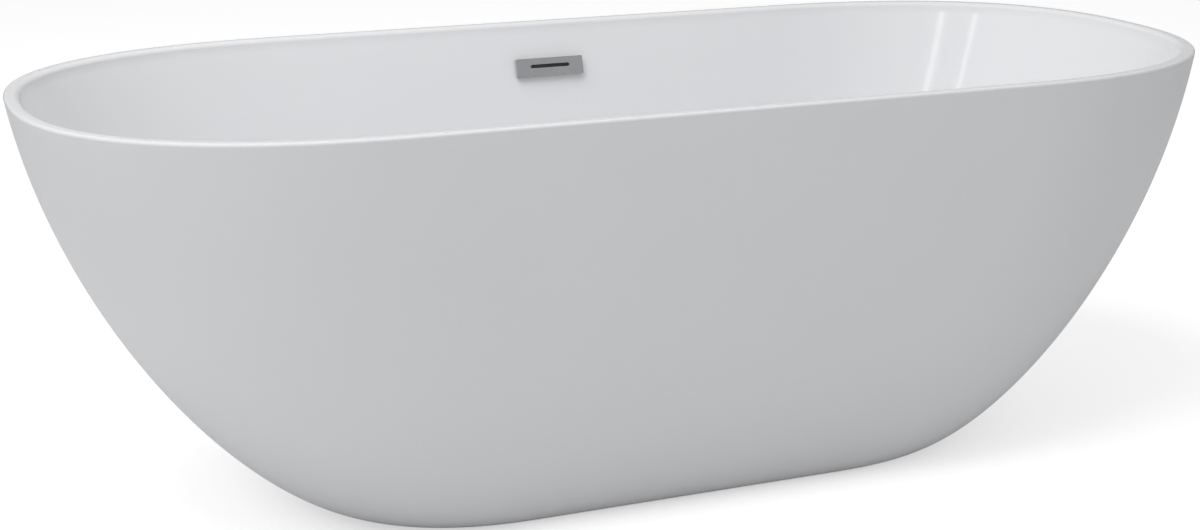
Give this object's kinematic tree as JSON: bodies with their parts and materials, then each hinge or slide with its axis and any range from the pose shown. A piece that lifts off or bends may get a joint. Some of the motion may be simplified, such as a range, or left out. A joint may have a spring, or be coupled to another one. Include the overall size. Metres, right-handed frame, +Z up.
{
  "type": "freestanding bathtub",
  "caption": "Oval double-ended freestanding bath: seamless white skirt and basin, thin rim, slotted overflow plate, push plug, steel frame and screw feet.",
  "frame": {"origin": "on the floor under the middle of the tub, level with the underside of the feet's soles", "axes": "+X along the length to the right, +Y across the width towards the wall that holds the overflow, +Z up"},
  "size_m": [1.7, 0.75, 0.58],
  "materials": {
    "acrylic": "glossy white sanitary acrylic, glass-fibre backed",
    "bond": "structural adhesive with glass fibre",
    "board": "flat particle board",
    "galvanised": "galvanised steel with spangle",
    "zinc_fastener": "bright zinc plate",
    "chrome": "polished chrome plate",
    "black_nylon": "moulded nylon",
    "rubber": "soft black rubber",
    "pipe_plastic": "moulded polypropylene",
    "stainless": "plain stainless steel"
  },
  "bodies": {
    "tub": {"outer_shell": "acrylic", "inner_basin": "acrylic", "rim_bond": "bond", "base_board": "board", "frame_rail_front": "galvanised", "frame_rail_rear": "galvanised", "frame_cross_left_end": "galvanised", "frame_cross_left_inner": "galvanised", "frame_cross_right_inner": "galvanised", "frame_cross_right_end": "galvanised", "board_screw_1": "zinc_fastener", "board_screw_2": "zinc_fastener", "board_screw_3": "zinc_fastener", "board_screw_4": "zinc_fastener", "board_screw_5": "zinc_fastener", "board_screw_6": "zinc_fastener", "foot_weld_nut_front_left": "galvanised", "foot_lock_nut_front_left": "zinc_fastener", "foot_weld_nut_rear_left": "galvanised", "foot_lock_nut_rear_left": "zinc_fastener", "foot_weld_nut_front_right": "galvanised", "foot_lock_nut_front_right": "zinc_fastener", "foot_weld_nut_rear_right": "galvanised", "foot_lock_nut_rear_right": "zinc_fastener", "drain_flange": "chrome", "drain_top_seal": "rubber", "drain_bottom_seal": "rubber", "drain_body": "pipe_plastic", "drain_tailpiece": "pipe_plastic", "drain_outlet_nut": "black_nylon", "plug_cartridge": "stainless", "plug_spring": "stainless", "overflow_cover": "chrome", "overflow_retainer": "black_nylon", "overflow_front_gasket": "rubber", "overflow_rear_gasket": "rubber", "overflow_body": "pipe_plastic", "overflow_screw_left": "zinc_fastener", "overflow_screw_right": "zinc_fastener", "hose_clip_upper": "stainless", "hose_clip_lower": "stainless", "overflow_hose": "pipe_plastic"},
    "plug": {"plug_cap": "chrome", "plug_seal": "rubber", "plug_stem": "stainless"},
    "pad_front_left": {"foot_pad_front_left": "black_nylon", "foot_sole_front_left": "rubber"},
    "spindle_front_left": {"foot_spindle_front_left": "zinc_fastener"},
    "pad_rear_left": {"foot_pad_rear_left": "black_nylon", "foot_sole_rear_left": "rubber"},
    "spindle_rear_left": {"foot_spindle_rear_left": "zinc_fastener"},
    "pad_front_right": {"foot_pad_front_right": "black_nylon", "foot_sole_front_right": "rubber"},
    "spindle_front_right": {"foot_spindle_front_right": "zinc_fastener"},
    "pad_rear_right": {"foot_pad_rear_right": "black_nylon", "foot_sole_rear_right": "rubber"},
    "spindle_rear_right": {"foot_spindle_rear_right": "zinc_fastener"}
  },
  "joints": [
    {"name": "plug_lift", "type": "slide", "parent": "tub", "child": "plug", "axis": [0, 0, 1], "range_m": [0, 0.009], "deforming": ["plug_spring"]},
    {"name": "foot_height_front_left", "type": "slide", "parent": "tub", "child": "pad_front_left", "axis": [0, 0, 1], "range_m": [-0.012, 0.01]},
    {"name": "spindle_turn_front_left", "type": "hinge", "parent": "pad_front_left", "child": "spindle_front_left", "pos_m": [-0.33, -0.125, 0.012], "axis": [0, 0, 1], "range_deg": [-2470, 2058]},
    {"name": "foot_height_rear_left", "type": "slide", "parent": "tub", "child": "pad_rear_left", "axis": [0, 0, 1], "range_m": [-0.012, 0.01]},
    {"name": "spindle_turn_rear_left", "type": "hinge", "parent": "pad_rear_left", "child": "spindle_rear_left", "pos_m": [-0.33, 0.125, 0.012], "axis": [0, 0, 1], "range_deg": [-2470, 2058]},
    {"name": "foot_height_front_right", "type": "slide", "parent": "tub", "child": "pad_front_right", "axis": [0, 0, 1], "range_m": [-0.012, 0.01]},
    {"name": "spindle_turn_front_right", "type": "hinge", "parent": "pad_front_right", "child": "spindle_front_right", "pos_m": [0.33, -0.125, 0.012], "axis": [0, 0, 1], "range_deg": [-2470, 2058]},
    {"name": "foot_height_rear_right", "type": "slide", "parent": "tub", "child": "pad_rear_right", "axis": [0, 0, 1], "range_m": [-0.012, 0.01]},
    {"name": "spindle_turn_rear_right", "type": "hinge", "parent": "pad_rear_right", "child": "spindle_rear_right", "pos_m": [0.33, 0.125, 0.012], "axis": [0, 0, 1], "range_deg": [-2470, 2058]}
  ],
  "couplings": [
    {"joint": "spindle_turn_front_left", "follows": "foot_height_front_left", "rad_per_m": 3590.4},
    {"joint": "spindle_turn_rear_left", "follows": "foot_height_rear_left", "rad_per_m": 3590.4},
    {"joint": "spindle_turn_front_right", "follows": "foot_height_front_right", "rad_per_m": 3590.4},
    {"joint": "spindle_turn_rear_right", "follows": "foot_height_rear_right", "rad_per_m": 3590.4}
  ]
}
